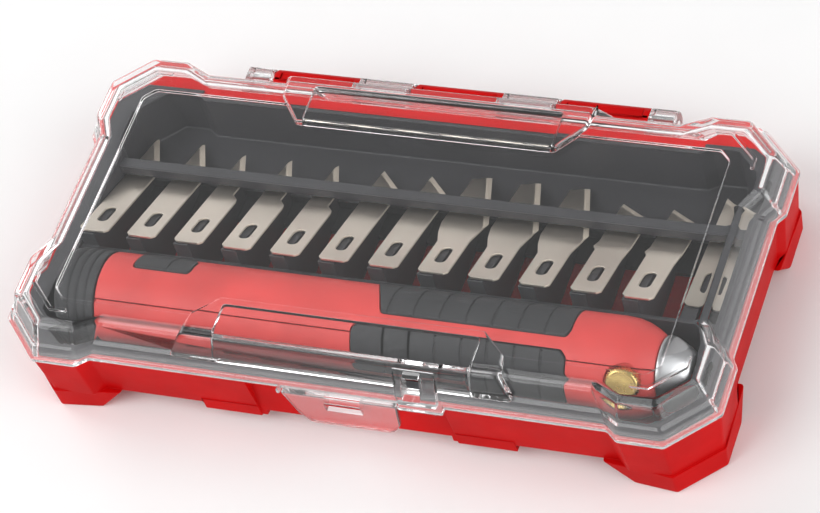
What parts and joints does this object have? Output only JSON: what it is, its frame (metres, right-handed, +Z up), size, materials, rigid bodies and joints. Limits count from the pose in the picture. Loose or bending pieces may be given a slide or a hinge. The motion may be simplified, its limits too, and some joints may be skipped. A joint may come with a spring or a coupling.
{
  "type": "craft knife and blade set",
  "caption": "Fat-handled craft cutter and loose blades laid out in a flat hinged case with a clear lid, a snap latch and corner feet.",
  "frame": {"origin": "centre of the set's footprint, on the surface its feet stand on", "axes": "+X along the case with the knife tip end at +X, +Y towards the hinge (the latch faces -Y), +Z up"},
  "size_m": [0.195, 0.1056, 0.0342],
  "materials": {
    "red_plastic": "smooth injection-moulded polypropylene, slightly satin",
    "clear_plastic": "clear moulded polystyrene, polished",
    "charcoal_plastic": "fine-grained dark moulding",
    "body_red": "satin moulded handle body",
    "black_rubber": "soft grip, matt",
    "plain_steel": "bright plain steel",
    "zinc": "die-cast zinc, lightly polished",
    "brass": "turned and knurled brass",
    "blade_steel": "ground carbon steel, polished bevels"
  },
  "bodies": {
    "case": {"base_tray": "red_plastic", "insert_tray": "charcoal_plastic", "hinge_pin": "plain_steel"},
    "lid": {"lid": "clear_plastic"},
    "latch": {"lid_latch": "clear_plastic"},
    "knife": {"handle_shell_front": "body_red", "handle_shell_rear": "body_red", "end_cap": "black_rubber", "nose_bolster": "zinc", "grip_pad_rear": "black_rubber", "grip_pad_front": "black_rubber", "thumb_pad": "black_rubber", "shell_screw_1": "plain_steel", "shell_screw_2": "plain_steel", "shell_screw_3": "plain_steel", "clamp_plate": "plain_steel"},
    "screw": {"thumb_screw": "brass"},
    "blade_01": {"blade_01": "blade_steel"},
    "blade_02": {"blade_02": "blade_steel"},
    "blade_03": {"blade_03": "blade_steel"},
    "blade_04": {"blade_04": "blade_steel"},
    "blade_05": {"blade_05": "blade_steel"},
    "blade_06": {"blade_06": "blade_steel"},
    "blade_07": {"blade_07": "blade_steel"},
    "blade_08": {"blade_08": "blade_steel"},
    "blade_09": {"blade_09": "blade_steel"},
    "blade_10": {"blade_10": "blade_steel"},
    "blade_11": {"blade_11": "blade_steel"},
    "blade_12": {"blade_12": "blade_steel"},
    "blade_13": {"blade_13": "blade_steel"}
  },
  "joints": [
    {"name": "lid_hinge", "type": "hinge", "parent": "case", "child": "lid", "pos_m": [0, 0.04923, 0.0194], "axis": [-1, 0, 0], "range_deg": [0, 110]},
    {"name": "latch_flex", "type": "hinge", "parent": "lid", "child": "latch", "pos_m": [0, -0.05122, 0.02215], "axis": [-1, 0, 0], "range_deg": [0, 18], "stiffness_Nm_per_rad": 0.02},
    {"name": "knife_roll", "type": "hinge", "parent": "case", "child": "knife", "pos_m": [0, -0.02697, 0.0184], "axis": [1, 0, 0], "range_deg": [-15, 50]},
    {"name": "thumb_screw_turn", "type": "hinge", "parent": "knife", "child": "screw", "pos_m": [0.0712, -0.02697, 0.0184], "axis": [0, -0.8704, 0.4924], "range_deg": [0, 450]},
    {"name": "blade_01_slide", "type": "slide", "parent": "case", "child": "blade_01", "axis": [0, -0.9311, 0.3649], "range_m": [0, 0.006]},
    {"name": "blade_02_slide", "type": "slide", "parent": "case", "child": "blade_02", "axis": [0, -0.9311, 0.3649], "range_m": [0, 0.006]},
    {"name": "blade_03_slide", "type": "slide", "parent": "case", "child": "blade_03", "axis": [0, -0.9311, 0.3649], "range_m": [0, 0.006]},
    {"name": "blade_04_slide", "type": "slide", "parent": "case", "child": "blade_04", "axis": [0, -0.9311, 0.3649], "range_m": [0, 0.006]},
    {"name": "blade_05_slide", "type": "slide", "parent": "case", "child": "blade_05", "axis": [0, -0.9311, 0.3649], "range_m": [0, 0.006]},
    {"name": "blade_06_slide", "type": "slide", "parent": "case", "child": "blade_06", "axis": [0, -0.9311, 0.3649], "range_m": [0, 0.006]},
    {"name": "blade_07_slide", "type": "slide", "parent": "case", "child": "blade_07", "axis": [0, -0.9311, 0.3649], "range_m": [0, 0.006]},
    {"name": "blade_08_slide", "type": "slide", "parent": "case", "child": "blade_08", "axis": [0, -0.9311, 0.3649], "range_m": [0, 0.006]},
    {"name": "blade_09_slide", "type": "slide", "parent": "case", "child": "blade_09", "axis": [0, -0.9311, 0.3649], "range_m": [0, 0.006]},
    {"name": "blade_10_slide", "type": "slide", "parent": "case", "child": "blade_10", "axis": [0, -0.9311, 0.3649], "range_m": [0, 0.006]},
    {"name": "blade_11_slide", "type": "slide", "parent": "case", "child": "blade_11", "axis": [0, -0.9311, 0.3649], "range_m": [0, 0.006]},
    {"name": "blade_12_slide", "type": "slide", "parent": "case", "child": "blade_12", "axis": [0, -0.9311, 0.3649], "range_m": [0, 0.006]},
    {"name": "blade_13_slide", "type": "slide", "parent": "case", "child": "blade_13", "axis": [0, -0.9877, 0.1564], "range_m": [0, 0.003]}
  ]
}
